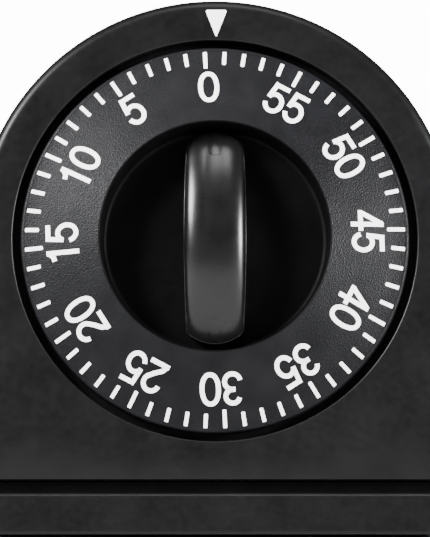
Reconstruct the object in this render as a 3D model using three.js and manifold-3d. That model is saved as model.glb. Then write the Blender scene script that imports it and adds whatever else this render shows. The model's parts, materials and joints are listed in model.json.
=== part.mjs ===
// A mechanical sixty-minute kitchen timer: an arch-topped case that leans back on a plinth, a round dial
// with a grip bar in its dish, and the clockwork that turns the dial back to zero and rings a bell.
//
// Millimetres, +Z up, the dial facing -Y. The case, the dial and the clockwork are drawn in a leaning frame:
// x to the right, y into the body, z up along the face, with its origin on the dial axis in the plane of the
// case's face. The plinth and the feet are drawn upright, from the same origin. The finished group is moved
// so that the middle of its underside is at the origin.

import * as THREE from "three";
import { mergeVertices } from "three/addons/utils/BufferGeometryUtils.js";
import Module from "manifold-3d";

const wasm = await Module();
wasm.setup();

// ---- driving dimensions -------------------------------------------------------------------------------

const lean = THREE.MathUtils.degToRad(8); // how far the face leans back

// case and plinth
const wall = 2.4; // moulded wall thickness
const edgeRadius = 2.2; // rounding of the case's front edge
const faceBorder = 8.2; // face left round the dial opening at the top and the sides
const chin = 8.6; // face left below the dial opening
const archLift = 0.7; // how far the middle of the arch lies above the dial axis
const frontCaseDepth = 30; // from the face back to the seam with the rear cover
const shadowGap = 2.6; // height of the recess between the case and the plinth
const shadowDepth = 3; // how far the recess goes in
const plinthHeight = 8.8;
const basePlateThickness = 2.2;
const footRadius = 5;
const footReach = 0.8; // how far a foot stands out below the plinth
const footSunk = 0.7; // how far it sits in its pocket
const footInset = 12; // from the plinth's sides to a foot's centre
const backClearance = 1.2; // behind the bell's nut
const floorBossHeight = 4; // of the case's bosses that take the base screws
// narrowing is in radians of the bell's circle for each slot
const soundSlot = { count: 7, pitch: 6, height: 2.2, narrowing: 0.42 };

// dial and grip
const dialRadius = 41.7;
const dialGap = 1.7; // running gap round the dial
const rimProud = 0.8; // how far the dial's rim stands out of the face
const coneRise = 6; // from the rim up to the edge of the dish
const dishRadius = 24.7;
const dishDepth = 8.3; // from the dish's edge down to its floor
const dishDraft = 0.6; // how much narrower the dish is at its foot
const dishFillet = 1; // rounding between its wall and its floor
const dialShell = 2; // thickness of the dial's moulding
const rimWidth = 1; // smooth band outside the printed cone
const rimDepth = 3; // how far the dial's rim reaches behind the face
const rimShoulder = { across: 0.3, proud: 0.7 }; // shares of the rim's width and height
const gripWidth = 12.5; // at its corners
const gripSideBulge = 0.45; // how much each side bulges between the corners
const gripEndGap = 1.8; // from the grip's ends to the edge of the dish
const gripEndSag = 2.4; // how much an end bulges between the corners
const gripProud = 2.7; // how far the middle of the grip's crown stands above the edge of the dish
const gripCrownRadius = 40; // of the arc that the crown makes along the grip
const gripRound = 1.2; // rounding of its upper edge
const gripStemRadius = 4.2;
const gripStemPlay = 1; // round the stem where it goes through the pan
const gripStemShort = 1; // how far the stem ends before the back of the pan's floor
const gripCorner = 1.2; // of the grip's outline
const gripSocketDepth = 5; // in front of the dish's floor
const arborInGrip = 4; // how much of it the main arbor fills

// dial stop, which keeps the dial from turning a full circle
const dialTravel = 352; // degrees
const stopRingInset = 5.7; // from the dial's rim to the middle of the stop's ring
const stopRingWidth = 4;
const dialLugHalf = 1.6; // half width of the dial's lug, in degrees
const caseStopHalf = 1.9; // half width of the case's stop, in degrees
const dialLugAngle = 262; // where the dial's lug lies at zero, in degrees
const dialLugTipGap = 0.8; // from the lug to the pan's floor
const caseStopHeight = 2.3; // above the pan's floor

// pan behind the dial
const panFloorDepth = 5.5; // from the face to the pan's floor
const panFloorThickness = 2;
const panWall = 1.9;

// movement frame
const plateRadius = 39.5;
const plateThickness = 1.5;
const plateStandoff = 2; // between the pan and the front plate
const plateSpacing = 20; // between the plates
const pillarRing = 36; // distance of the pillars from the dial axis
const pillarAngles = [125, 200, 285, 355];
const pillarRadius = 2.2;
const tenonRadius = 1.2;
const movementScrewRing = 30;
const movementScrewAngles = [150, 240, 330];

// wheels and pinions: teeth, module and where each lies along its arbor, from the back of the front plate
const pinionLeaves = 8;
const great = { teeth: 60, module: 0.7, from: 10.6, to: 11.8, spokes: 4 };
const second = { teeth: 48, module: 0.55, from: 14, to: 15, spokes: 3 };
const third = { teeth: 48, module: 0.5, from: 17, to: 18, spokes: 3 };
const pinionOverhang = 0.4; // how far a pinion reaches past its wheel on each side
// heights in modules, half widths in tooth pitches
const wheelTooth = { addendum: 0.85, dedendum: 1.25, tipHalf: 0.08, rootHalf: 0.25 };
const pinionLeaf = { addendum: 0.55, dedendum: 1.35, tipHalf: 0.09, rootHalf: 0.2 };
const wheelBody = { rim: 1.6, hub: 2.2, spoke: 1.6 };
const meshPlay = 0.1; // added to each centre distance
const trainHeading = { second: 75, third: -25, escape: -62, pallet: -100, balance: -115 };

// mainspring and ratchet
const spring = { inner: 4, outer: 18, turns: 5, strip: 0.35, from: 1, to: 8, facetsPerTurn: 16 };
const springPostRadius = 1;
const springPostTail = 0.5; // past the spring's strip
const mainArborTail = 1; // behind the rear plate
const ratchet = { teeth: 16, tip: 6.5, root: 5.2, from: 9, to: 10, steep: 0.02 }; // steep: tooth pitches
const clickEye = { x: 8.8, z: -7, radius: 1.9, hole: 0.7, opening: 130 };
const clickNose = { x: 0.35, z: -5.55 };
const clickHeel = { x: 0.45, z: -7.1 };
const clickShoulder = { x: 2.5, z: -6.45 };
const clickLeaf = { inner: 7.9, outer: 8.3, fromAngle: 185, toAngle: 280, eyeRadius: 1.6, eyeOffset: 1 };

// escapement and balance
const escape = { teeth: 24, tip: 8, root: 6.3, from: 14, to: 15 };
const escapeTooth = { rootHalf: 0.24, tipHalf: 0.04 }; // half widths in tooth pitches
const palletPinRadius = 0.35;
const palletPinPlay = 0.15; // from the wheel's tips to a pin, with the lever in the middle
const palletSpan = 2.5; // teeth from the line of centres to each pin
const palletLever = { from: 12.4, to: 13.2 };
const forkReach = 8.4; // from the pallet arbor to the impulse pin
const impulseReach = 2.1; // from the balance staff to the impulse pin
const impulsePinRadius = 0.4;
const forkSlotWidth = 1.2;
const palletArm = { hub: 1.1, width: 1.4, padRadius: 0.9, tailWidth: 1.6 };
// measured from the impulse pin, along the line of centres
const fork = { width: 3.2, from: -2.2, to: 0.9, slotFrom: -1.5, slotTo: 3 };
const balance = { radius: 8.6, rim: 1.4, from: 17, to: 18.4, spoke: 1.8, hubMargin: 0.7 };
const pinTail = 0.3; // how far a pallet pin reaches past the escape wheel
const impulsePinLead = 0.4; // in front of the fork

// alarm
const tripCam = { radius: 7.5, notchFloor: 5, notchHalf: 17, from: 15.6, to: 16.8 };
const tripNoseAngle = 73; // direction of the lever's nose from the dial axis
const tripClearance = 0.3; // between the nose and the cam's rim
const tripStud = { ring: 23.6, angle: 143.6, radius: 1.1, lead: 0.6 };
const tripArm = {
  elbowRise: 3.5,
  elbowRadius: 1.1,
  hub: 1.6,
  width: 2.2,
  noseWidth: 1.2,
  tail: 6.5,
  tailWidth: 1.8,
};
const hammerPivot = { x: -27, z: 8 };
const hammerLength = 16.2;
const hammerHeading = 267; // direction of the hammer's arm at rest
const hammerHeadRadius = 1.8;
const hammerArmForm = { offset: 3.5, thickness: 1.2, width: 1.8, hub: 1.4 }; // offset is from the rear plate
const hammerHeadOverhang = 1.2; // past the arm on each side
const hammerArborTail = 0.5;
const bellCentre = { x: -4, z: -6 };
const bellRadius = 20;
const bellDepth = 6.6;
const bellWall = 1;
const bellStandoff = 2.5; // between the rear plate and the bell's mouth
const bellPostRadius = 2.6;
const bellShoulder = { across: 6, deep: 4 }; // of the quarter ellipse between its side and its back
const bellNutWidth = 6;

// fasteners
const screwShank = 1.1;
const screwHead = { radius: 2.5, height: 1.5, slotWidth: 0.7, slotDepth: 0.6 };
const bossRadius = 3.2;
const pillarNutWidth = 4.4;
const caseScrewLength = 12;
const caseScrewHole = 14; // depth of the hole that takes it
const baseScrewReach = 3; // past the case's floor
const plateScrewEndGap = 0.4; // from a plate screw's end to the end of its hole
const pillarHoleFloor = 0.6; // left between a pillar's hole and the plinth's ceiling
const caseBossInset = 5.2; // from the case's outside to the middle of a boss
const caseScrewUpperAngle = 50;
const caseScrewLowerZ = -40;
const baseScrewX = 30;
const baseScrewY = 18;
const plateScrewX = 20;

// clearances
const seat = 0.3; // left where one fixed piece rests on or fits round another
const running = 0.15; // radial play of a turning pivot in its hole

// fineness: facets round a full turn of a round solid, and steps along each arc of an outline
const facets = {
  hole: 8,
  small: 10,
  eye: 12,
  bore: 14,
  medium: 16,
  wide: 20,
  fine: 24,
  plate: 32,
  pan: 40,
  dial: 48,
  crown: 96,
};
const steps = { block: 2, grip: 4, nut: 5, small: 6, medium: 8, normal: 12, arch: 16 };
const bevelSteps = { case: 2, grip: 3 };

// ---- places worked out from them ----------------------------------------------------------------------

const openingRadius = dialRadius + dialGap;
const archRadius = openingRadius + faceBorder;
const caseBossRing = archRadius - caseBossInset;
const stopRingRadius = dialRadius - stopRingInset;
const caseBottom = -(openingRadius + chin) * Math.cos(lean); // upright height of the case's underside
const plinthTop = caseBottom - shadowGap;
const plinthBottom = plinthTop - plinthHeight;
const ceiling = plinthTop - wall; // inside the plinth
const pillarHoleTop = ceiling - pillarHoleFloor;
const plateScrewLength = pillarHoleTop - plinthBottom - plateScrewEndGap;
const dishEdgeY = -rimProud - coneRise;
const dishFloorY = dishEdgeY + dishDepth;
const gripCrownY = dishEdgeY - gripProud;
const gripHalfLength = dishRadius - gripEndGap;
const panFloorBack = panFloorDepth + panFloorThickness;
const frontPlateFront = panFloorBack + plateStandoff;
const frontPlateBack = frontPlateFront + plateThickness;
const rearPlateFront = frontPlateBack + plateSpacing;
const rearPlateBack = rearPlateFront + plateThickness;
const bellMouthY = rearPlateBack + bellStandoff;
const bellBackY = bellMouthY + bellDepth;
const bellNutThickness = 1.4;
const bellPostEnd = bellBackY + seat + bellNutThickness + seat;
const innerBack = bellPostEnd * Math.cos(lean) + backClearance; // upright plane inside the rear cover
const outerBack = innerBack + wall;
const mainArborRadius = 2.5;
const arborRadius = 1;
const pivotRadius = 0.6;
const far = 400; // longer than anything here, for tools that cut right through
const overcut = 1; // how far a tool runs past what it cuts, and a joined solid sinks into its neighbour
const sides = [-1, 1]; // left and right

const rad = THREE.MathUtils.degToRad;

function polar(distance, degrees, from = { x: 0, z: 0 }) {
  return { x: from.x + distance * Math.cos(rad(degrees)), z: from.z + distance * Math.sin(rad(degrees)) };
}

function centreDistance(wheel) {
  return ((wheel.teeth + pinionLeaves) * wheel.module) / 2 + meshPlay;
}

const palletPinRing = escape.tip + palletPinRadius + palletPinPlay;
const palletHalfAngle = (palletSpan * 360) / escape.teeth;
const palletDistance = palletPinRing / Math.cos(rad(palletHalfAngle));

const mainAxis = { x: 0, z: 0 };
const secondAxis = polar(centreDistance(great), trainHeading.second);
const thirdAxis = polar(centreDistance(second), trainHeading.third, secondAxis);
const escapeAxis = polar(centreDistance(third), trainHeading.escape, thirdAxis);
const palletAxis = polar(palletDistance, trainHeading.pallet, escapeAxis);
const balanceAxis = polar(forkReach + impulseReach, trainHeading.balance, palletAxis);
const tripAxis = polar(tripStud.ring, tripStud.angle);
const palletPins = sides.map((side) =>
  polar(palletPinRing, trainHeading.pallet + side * palletHalfAngle, escapeAxis)
);
const impulsePin = polar(impulseReach, trainHeading.balance + 180, balanceAxis);
const caseScrews = [
  polar(caseBossRing, caseScrewUpperAngle),
  polar(caseBossRing, 180 - caseScrewUpperAngle),
  { x: -caseBossRing, z: caseScrewLowerZ },
  { x: caseBossRing, z: caseScrewLowerZ },
];
const movementScrews = movementScrewAngles.map((angle) => polar(movementScrewRing, angle));

// ---- solids -------------------------------------------------------------------------------------------

function solid(geometry) {
  const bare = geometry.clone();
  bare.deleteAttribute("normal");
  bare.deleteAttribute("uv");
  const welded = mergeVertices(bare, 1e-4);
  return new wasm.Manifold(
    new wasm.Mesh({
      numProp: 3,
      vertProperties: new Float32Array(welded.attributes.position.array),
      triVerts: new Uint32Array(welded.index.array),
    })
  );
}

function geometryOf(made) {
  const { vertProperties, triVerts } = made.getMesh();
  const geometry = new THREE.BufferGeometry();
  geometry.setAttribute("position", new THREE.BufferAttribute(new Float32Array(vertProperties), 3));
  geometry.setIndex(new THREE.BufferAttribute(new Uint32Array(triVerts), 1));
  geometry.computeVertexNormals();
  return geometry;
}

// joins the first solids and takes the others away
function build(joined, removed = []) {
  const whole = joined.slice(1).reduce((sum, piece) => sum.add(piece), joined[0]);
  return removed.reduce((left, tool) => left.subtract(tool), whole);
}

// a cylinder along the dial axis's direction
function rod(at, radius, fromY, toY, around = facets.fine) {
  const geometry = new THREE.CylinderGeometry(radius, radius, toY - fromY, around);
  geometry.translate(at.x, (fromY + toY) / 2, at.z);
  return solid(geometry);
}

// an upright cylinder
function post(x, y, radius, fromZ, toZ, around = facets.fine) {
  const geometry = new THREE.CylinderGeometry(radius, radius, toZ - fromZ, around);
  geometry.rotateX(Math.PI / 2);
  geometry.translate(x, y, (fromZ + toZ) / 2);
  return solid(geometry);
}

// a profile of [radius, y] points turned about the dial axis's direction
function turned(profile, at = mainAxis, around = facets.fine) {
  const geometry = new THREE.LatheGeometry(
    profile.map(([radius, y]) => new THREE.Vector2(radius, y)),
    around
  );
  geometry.translate(at.x, 0, at.z);
  return solid(geometry);
}

// a flat shape, drawn in x and z, as thick as from fromY to toY
function slab(shape, fromY, toY, at = mainAxis, curveSegments = steps.normal) {
  const settings = { depth: toY - fromY, bevelEnabled: false, curveSegments };
  const geometry = new THREE.ExtrudeGeometry(shape, settings);
  geometry.rotateX(Math.PI / 2);
  geometry.translate(at.x, toY, at.z);
  return solid(geometry);
}

// a slab whose front edge is rounded
function roundedSlab(shape, fromY, toY, radius, curveSegments, bevelSegments) {
  const depth = toY - fromY;
  const geometry = new THREE.ExtrudeGeometry(shape, {
    depth,
    curveSegments,
    bevelSegments,
    bevelThickness: radius,
    bevelSize: radius,
    bevelOffset: -radius,
  });
  geometry.rotateX(Math.PI / 2);
  geometry.translate(0, fromY + depth + radius, 0);
  return solid(geometry).subtract(box([-far, far], [toY, far], [-far, far]));
}

function box([fromX, toX], [fromY, toY], [fromZ, toZ]) {
  const geometry = new THREE.BoxGeometry(toX - fromX, toY - fromY, toZ - fromZ);
  geometry.translate((fromX + toX) / 2, (fromY + toY) / 2, (fromZ + toZ) / 2);
  return solid(geometry);
}

// an upright solid, as it lies in the leaning frame
function inLeaningFrame(made) {
  return made.rotate([THREE.MathUtils.radToDeg(lean), 0, 0]);
}

function uprightBox(xRange, yRange, zRange) {
  return inLeaningFrame(box(xRange, yRange, zRange));
}

// a side profile of [y, z] points, extruded across the timer
function across(profile, halfWidth) {
  const shape = new THREE.Shape(profile.map(([y, z]) => new THREE.Vector2(y, z)));
  const geometry = new THREE.ExtrudeGeometry(shape, { depth: 2 * halfWidth, bevelEnabled: false });
  geometry.translate(0, 0, -halfWidth);
  const toYZ = new THREE.Matrix4().makeBasis(
    new THREE.Vector3(0, 1, 0),
    new THREE.Vector3(0, 0, 1),
    new THREE.Vector3(1, 0, 0)
  );
  geometry.applyMatrix4(toYZ);
  return solid(geometry);
}

// a straight arm from one point to another
function arm(from, to, width, fromY, toY) {
  const length = Math.hypot(to.x - from.x, to.z - from.z);
  const turn = Math.atan2(to.z - from.z, to.x - from.x);
  const shape = new THREE.Shape([
    new THREE.Vector2(0, -width / 2),
    new THREE.Vector2(length, -width / 2),
    new THREE.Vector2(length, width / 2),
    new THREE.Vector2(0, width / 2),
  ]);
  const geometry = new THREE.ExtrudeGeometry(shape, { depth: toY - fromY, bevelEnabled: false });
  geometry.rotateX(Math.PI / 2);
  geometry.rotateY(-turn);
  geometry.translate(from.x, toY, from.z);
  return solid(geometry);
}

// ---- outlines -----------------------------------------------------------------------------------------

function archShape(radius) {
  const shape = new THREE.Shape();
  shape.moveTo(-radius, -2 * archRadius);
  shape.lineTo(radius, -2 * archRadius);
  shape.lineTo(radius, archLift);
  shape.absarc(0, archLift, radius, 0, Math.PI, false);
  shape.closePath();
  return shape;
}

function discShape(radius) {
  const shape = new THREE.Shape();
  shape.absarc(0, 0, radius, 0, 2 * Math.PI, false);
  return shape;
}

function ringHole(radius) {
  const hole = new THREE.Path();
  hole.absarc(0, 0, radius, 0, 2 * Math.PI, true);
  return hole;
}

// an outline that repeats one tooth: points of [radius, angle], the angle in tooth pitches
function toothedShape(teeth, tooth, phase) {
  const pitch = (2 * Math.PI) / teeth;
  const points = [];
  for (let index = 0; index < teeth; index += 1) {
    for (const [radius, offset] of tooth) {
      const angle = rad(phase) + (index + offset) * pitch;
      points.push(new THREE.Vector2(radius * Math.cos(angle), radius * Math.sin(angle)));
    }
  }
  return new THREE.Shape(points);
}

// one tooth of a wheel or leaf of a pinion, with its middle at offset 0
function toothPoints(teeth, module, form) {
  const pitchRadius = (teeth * module) / 2;
  const root = pitchRadius - form.dedendum * module;
  const tip = pitchRadius + form.addendum * module;
  return [
    [root, -form.rootHalf],
    [tip, -form.tipHalf],
    [tip, form.tipHalf],
    [root, form.rootHalf],
  ];
}

// the windows between a wheel's spokes
function addWindows(shape, count, hubRadius, rimRadius, spokeWidth) {
  for (let index = 0; index < count; index += 1) {
    const start = (index * 2 * Math.PI) / count;
    const end = ((index + 1) * 2 * Math.PI) / count;
    const outerTrim = Math.asin(spokeWidth / 2 / rimRadius);
    const innerTrim = Math.asin(spokeWidth / 2 / hubRadius);
    const hole = new THREE.Path();
    hole.absarc(0, 0, rimRadius, start + outerTrim, end - outerTrim, false);
    hole.absarc(0, 0, hubRadius, end - innerTrim, start + innerTrim, true);
    hole.closePath();
    shape.holes.push(hole);
  }
}

// ---- the scene ----------------------------------------------------------------------------------------

const timer = new THREE.Group();
const leaning = new THREE.Group();
leaning.rotation.x = -lean;
const upright = new THREE.Group();
timer.add(leaning, upright);

const materials = {
  case: new THREE.MeshStandardMaterial({ color: 0x1c1c1d, roughness: 0.55, metalness: 0 }),
  dial: new THREE.MeshStandardMaterial({ color: 0x202124, roughness: 0.45, metalness: 0 }),
  grip: new THREE.MeshStandardMaterial({ color: 0x141415, roughness: 0.25, metalness: 0 }),
  rubber: new THREE.MeshStandardMaterial({ color: 0x0d0d0d, roughness: 0.9, metalness: 0 }),
  steel: new THREE.MeshStandardMaterial({ color: 0xb9bcc0, roughness: 0.35, metalness: 1 }),
  springSteel: new THREE.MeshStandardMaterial({ color: 0x53565c, roughness: 0.3, metalness: 1 }),
  brass: new THREE.MeshStandardMaterial({ color: 0xc9a24b, roughness: 0.35, metalness: 1 }),
  bell: new THREE.MeshStandardMaterial({ color: 0xd0d2d6, roughness: 0.15, metalness: 1 }),
};

function addPiece(name, made, material, group = leaning) {
  const mesh = new THREE.Mesh(geometryOf(made), materials[material]);
  mesh.name = name;
  group.add(mesh);
}

// ---- case ---------------------------------------------------------------------------------------------

const everything = [-far, far];

const below = (height) => uprightBox(everything, everything, [-far, height]);

function frontCase() {
  const arch = archShape(archRadius);
  const outer = roundedSlab(arch, 0, frontCaseDepth, edgeRadius, steps.arch, bevelSteps.case);
  const inner = slab(archShape(archRadius - wall), wall, far, mainAxis, steps.arch);
  const hollow = inner.subtract(below(caseBottom + wall));
  const shell = outer.subtract(hollow).subtract(below(caseBottom));
  const pan = rod(mainAxis, openingRadius + panWall, wall / 2, panFloorBack, facets.pan);
  const screwBosses = caseScrews.map((at) =>
    rod(at, bossRadius, panFloorDepth, frontCaseDepth, facets.small)
  );
  const screwHoles = caseScrews.map((at) =>
    rod(at, screwShank + seat, frontCaseDepth - caseScrewHole, frontCaseDepth + overcut, facets.hole)
  );
  const standoffs = movementScrews.map((at) =>
    rod(at, bossRadius, panFloorDepth + overcut, frontPlateFront - seat, facets.small)
  );
  const movementHoles = movementScrews.map((at) => rod(at, screwShank + seat, 0, far, facets.hole));
  const floorBossTop = caseBottom + wall + floorBossHeight;
  const floorPost = (side, radius, from, to, around) =>
    inLeaningFrame(post(side * baseScrewX, baseScrewY, radius, from, to, around));
  const floorBosses = sides.map((side) =>
    floorPost(side, bossRadius, caseBottom + overcut, floorBossTop, facets.small)
  );
  const floorHoles = sides.map((side) =>
    floorPost(side, screwShank + seat, caseBottom - overcut, floorBossTop + overcut, facets.hole)
  );
  const opening = rod(mainAxis, openingRadius, -overcut, panFloorDepth, facets.dial);
  const centreHole = rod(mainAxis, gripStemRadius + gripStemPlay, 0, far, facets.wide);
  const body = build(
    [shell, pan, ...screwBosses, ...standoffs, ...floorBosses],
    [opening, centreHole, ...screwHoles, ...movementHoles, ...floorHoles]
  );
  return body.add(caseStop());
}

// the stop on the pan's floor, half way through the arc that the dial's lug never enters
function caseStop() {
  const middle = dialLugAngle + (360 - dialTravel) / 2;
  return ringBlock(middle, caseStopHalf, panFloorDepth - caseStopHeight, panFloorDepth + overcut);
}

function ringBlock(degrees, halfDegrees, fromY, toY) {
  const inner = stopRingRadius - stopRingWidth / 2;
  const outer = stopRingRadius + stopRingWidth / 2;
  const shape = new THREE.Shape();
  shape.absarc(0, 0, outer, rad(degrees - halfDegrees), rad(degrees + halfDegrees), false);
  shape.absarc(0, 0, inner, rad(degrees + halfDegrees), rad(degrees - halfDegrees), true);
  shape.closePath();
  return slab(shape, fromY, toY, mainAxis, steps.block);
}

const rearStart = frontCaseDepth + seat;
const screwFloor = rearStart + wall; // where the case screws' heads seat

function rearCover() {
  const behind = (depth) => uprightBox(everything, [depth, far], everything);
  const outer = slab(archShape(archRadius), rearStart, 2 * outerBack, mainAxis, steps.arch)
    .subtract(below(caseBottom))
    .subtract(behind(outerBack));
  const hollow = slab(archShape(archRadius - wall), 0, 2 * outerBack, mainAxis, steps.arch)
    .subtract(below(caseBottom + wall))
    .subtract(behind(innerBack));
  const columns = caseScrews.map((at) =>
    rod(at, screwHead.radius + seat + wall / 2, rearStart, 2 * outerBack, facets.small).intersect(outer)
  );
  const pockets = caseScrews.map((at) => rod(at, screwHead.radius + seat, screwFloor, far, facets.small));
  const holes = caseScrews.map((at) => rod(at, screwShank + seat, 0, far, facets.hole));
  return build([outer.subtract(hollow), ...columns], [...pockets, ...holes, ...soundSlots()]);
}

// slots through the back that let the bell be heard
function soundSlots() {
  const slots = [];
  for (let index = 0; index < soundSlot.count; index += 1) {
    const place = index - (soundSlot.count - 1) / 2;
    const middle = bellCentre.z + place * soundSlot.pitch;
    const halfWidth = bellRadius * Math.cos(place * soundSlot.narrowing);
    slots.push(
      uprightBox(
        [bellCentre.x - halfWidth, bellCentre.x + halfWidth],
        [innerBack - overcut, outerBack + overcut],
        [middle - soundSlot.height / 2, middle + soundSlot.height / 2]
      )
    );
  }
  return slots;
}

// ---- plinth, drawn upright ----------------------------------------------------------------------------

// how far back the face is at an upright height
const faceAt = (z) => z * Math.tan(lean);

function plinth() {
  const outer = across(
    [
      [faceAt(plinthBottom), plinthBottom],
      [outerBack, plinthBottom],
      [outerBack, plinthTop],
      [faceAt(plinthTop), plinthTop],
    ],
    archRadius
  );
  const neckTop = caseBottom - seat;
  const neck = across(
    [
      [faceAt(plinthTop - overcut) + shadowDepth, plinthTop - overcut],
      [outerBack - shadowDepth, plinthTop - overcut],
      [outerBack - shadowDepth, neckTop],
      [faceAt(neckTop) + shadowDepth, neckTop],
    ],
    archRadius - shadowDepth
  );
  const hollow = across(
    [
      [faceAt(plinthBottom - overcut) + wall, plinthBottom - overcut],
      [outerBack - wall, plinthBottom - overcut],
      [outerBack - wall, ceiling],
      [faceAt(ceiling) + wall, ceiling],
    ],
    archRadius - wall
  );
  const pillarFoot = plinthBottom + basePlateThickness + seat;
  const pillars = sides.map((side) =>
    post(side * plateScrewX, baseScrewY, bossRadius, pillarFoot, ceiling + overcut, facets.small)
  );
  const screwHoles = sides.map((side) =>
    post(side * baseScrewX, baseScrewY, screwShank + seat, plinthBottom, caseBottom + overcut, facets.hole)
  );
  const pillarHoles = sides.map((side) =>
    post(side * plateScrewX, baseScrewY, screwShank + seat, plinthBottom, pillarHoleTop, facets.hole)
  );
  return build([outer.subtract(hollow), neck, ...pillars], [...screwHoles, ...pillarHoles]);
}

const footPlaces = [
  [-1, faceAt(plinthBottom) + footInset],
  [1, faceAt(plinthBottom) + footInset],
  [-1, outerBack - footInset],
  [1, outerBack - footInset],
].map(([side, y]) => ({ x: side * (archRadius - footInset), y }));

function basePlate() {
  const inset = wall + seat;
  const top = plinthBottom + basePlateThickness;
  const plate = across(
    [
      [faceAt(plinthBottom) + inset, plinthBottom],
      [outerBack - inset, plinthBottom],
      [outerBack - inset, top],
      [faceAt(top) + inset, top],
    ],
    archRadius - inset
  );
  const pockets = footPlaces.map(({ x, y }) =>
    post(x, y, footRadius + seat, plinthBottom - overcut, plinthBottom + footSunk + seat, facets.medium)
  );
  const holes = sides.map((side) =>
    post(side * plateScrewX, baseScrewY, screwShank + seat, -far, 0, facets.hole)
  );
  const sinkTop = plinthBottom + screwHead.height;
  const sinks = sides.map((side) =>
    post(side * plateScrewX, baseScrewY, screwHead.radius + seat, -far, sinkTop, facets.small)
  );
  return build([plate], [...pockets, ...holes, ...sinks]);
}

function addFeet() {
  footPlaces.forEach(({ x, y }, index) => {
    const foot = post(x, y, footRadius, plinthBottom - footReach, plinthBottom + footSunk, facets.medium);
    addPiece(`foot_${index + 1}`, foot, "rubber", upright);
  });
}

// ---- screws -------------------------------------------------------------------------------------------

// a slotted screw along +y, its head's top at y = 0
function screw(length) {
  const { radius, height, slotWidth, slotDepth } = screwHead;
  const body = turned(
    [
      [0, 0],
      [radius, 0],
      [radius, height],
      [screwShank, height],
      [screwShank, length],
      [0, length],
    ],
    mainAxis,
    facets.small
  );
  const slot = box(everything, [-overcut, slotDepth], [-slotWidth / 2, slotWidth / 2]);
  return body.subtract(slot);
}

function addCaseScrews() {
  caseScrews.forEach((at, index) => {
    const headTop = screwFloor + seat / 2 + screwHead.height;
    const facingBack = screw(screwHead.height + caseScrewLength).rotate([180, 0, 0]);
    addPiece(`case_screw_${index + 1}`, facingBack.translate([at.x, headTop, at.z]), "steel");
  });
}

function addMovementScrews() {
  movementScrews.forEach((at, index) => {
    const headTop = panFloorDepth - seat / 2 - screwHead.height;
    const piece = screw(frontPlateBack - headTop).translate([at.x, headTop, at.z]);
    addPiece(`movement_screw_${index + 1}`, piece, "steel");
  });
}

// screws that go up from below: their heads face down
function addBaseScrews() {
  sides.forEach((side, index) => {
    const upward = (length) => screw(length).rotate([90, 0, 0]);
    const baseHead = ceiling - seat / 2 - screwHead.height;
    const baseLength = caseBottom + wall + baseScrewReach - baseHead;
    const baseScrew = upward(baseLength).translate([side * baseScrewX, baseScrewY, baseHead]);
    addPiece(`base_screw_${index + 1}`, baseScrew, "steel", upright);
    const plateScrew = upward(plateScrewLength).translate([side * plateScrewX, baseScrewY, plinthBottom]);
    addPiece(`plate_screw_${index + 1}`, plateScrew, "steel", upright);
  });
}

// ---- dial and grip ------------------------------------------------------------------------------------

function dial() {
  const coneSlope = coneRise / (dialRadius - rimWidth - dishRadius);
  const coneAt = (radius) => -rimProud - (dialRadius - rimWidth - radius) * coneSlope;
  const rimInside = dialRadius - dialShell;
  const dishWall = dishRadius + dialShell;
  const holeRadius = gripStemRadius + seat;
  const profile = [
    [holeRadius, dishFloorY],
    [dishRadius - dishDraft - dishFillet, dishFloorY],
    [dishRadius - dishDraft, dishFloorY - dishFillet],
    [dishRadius, dishEdgeY],
    [dialRadius - rimWidth, -rimProud],
    [dialRadius - rimWidth * rimShoulder.across, -rimProud * rimShoulder.proud],
    [dialRadius, 0],
    [dialRadius, rimDepth],
    [rimInside, rimDepth],
    [rimInside, coneAt(rimInside) + dialShell],
    [dishWall, coneAt(dishWall) + dialShell],
    [dishWall - dishDraft, dishFloorY - dishFillet],
    [dishWall - dishDraft - dishFillet, dishFloorY + dialShell],
    [holeRadius, dishFloorY + dialShell],
    [holeRadius, dishFloorY],
  ];
  const lugRoot = coneAt(stopRingRadius) + overcut;
  const lug = ringBlock(dialLugAngle, dialLugHalf, lugRoot, panFloorDepth - dialLugTipGap);
  return turned(profile, mainAxis, facets.dial).add(lug);
}

// bulging sides and ends, with a small corner between them
function gripOutline() {
  const half = gripWidth / 2;
  const shoulder = gripHalfLength - gripEndSag;
  const sideEnd = shoulder - gripCorner;
  const endSide = half - gripCorner;
  const endStart = gripHalfLength - gripEndSag * (endSide / half) ** 2;
  const shape = new THREE.Shape();
  shape.moveTo(half, -sideEnd);
  shape.quadraticCurveTo(half + 2 * gripSideBulge, 0, half, sideEnd);
  shape.quadraticCurveTo(half, shoulder, endSide, endStart);
  shape.quadraticCurveTo(0, 2 * gripHalfLength - endStart, -endSide, endStart);
  shape.quadraticCurveTo(-half, shoulder, -half, sideEnd);
  shape.quadraticCurveTo(-half - 2 * gripSideBulge, 0, -half, -sideEnd);
  shape.quadraticCurveTo(-half, -shoulder, -endSide, -endStart);
  shape.quadraticCurveTo(0, endStart - 2 * gripHalfLength, endSide, -endStart);
  shape.quadraticCurveTo(half, -shoulder, half, -sideEnd);
  return shape;
}

// everything behind the arc of the crown
function crownCylinder() {
  const geometry = new THREE.CylinderGeometry(gripCrownRadius, gripCrownRadius, 2 * gripWidth, facets.crown);
  geometry.rotateZ(Math.PI / 2);
  geometry.translate(0, gripCrownY + gripCrownRadius, 0);
  return solid(geometry);
}

function gripBar() {
  const foot = dishFloorY - seat;
  const block = roundedSlab(gripOutline(), gripCrownY, foot, gripRound, steps.grip, bevelSteps.grip);
  const bar = block.intersect(crownCylinder());
  const stemEnd = panFloorBack - gripStemShort;
  const stem = rod(mainAxis, gripStemRadius, dishFloorY - overcut, stemEnd, facets.plate);
  const socket = rod(mainAxis, mainArborRadius + seat, dishFloorY - gripSocketDepth, far);
  return build([bar, stem], [socket]);
}

// ---- movement frame -----------------------------------------------------------------------------------

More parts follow.
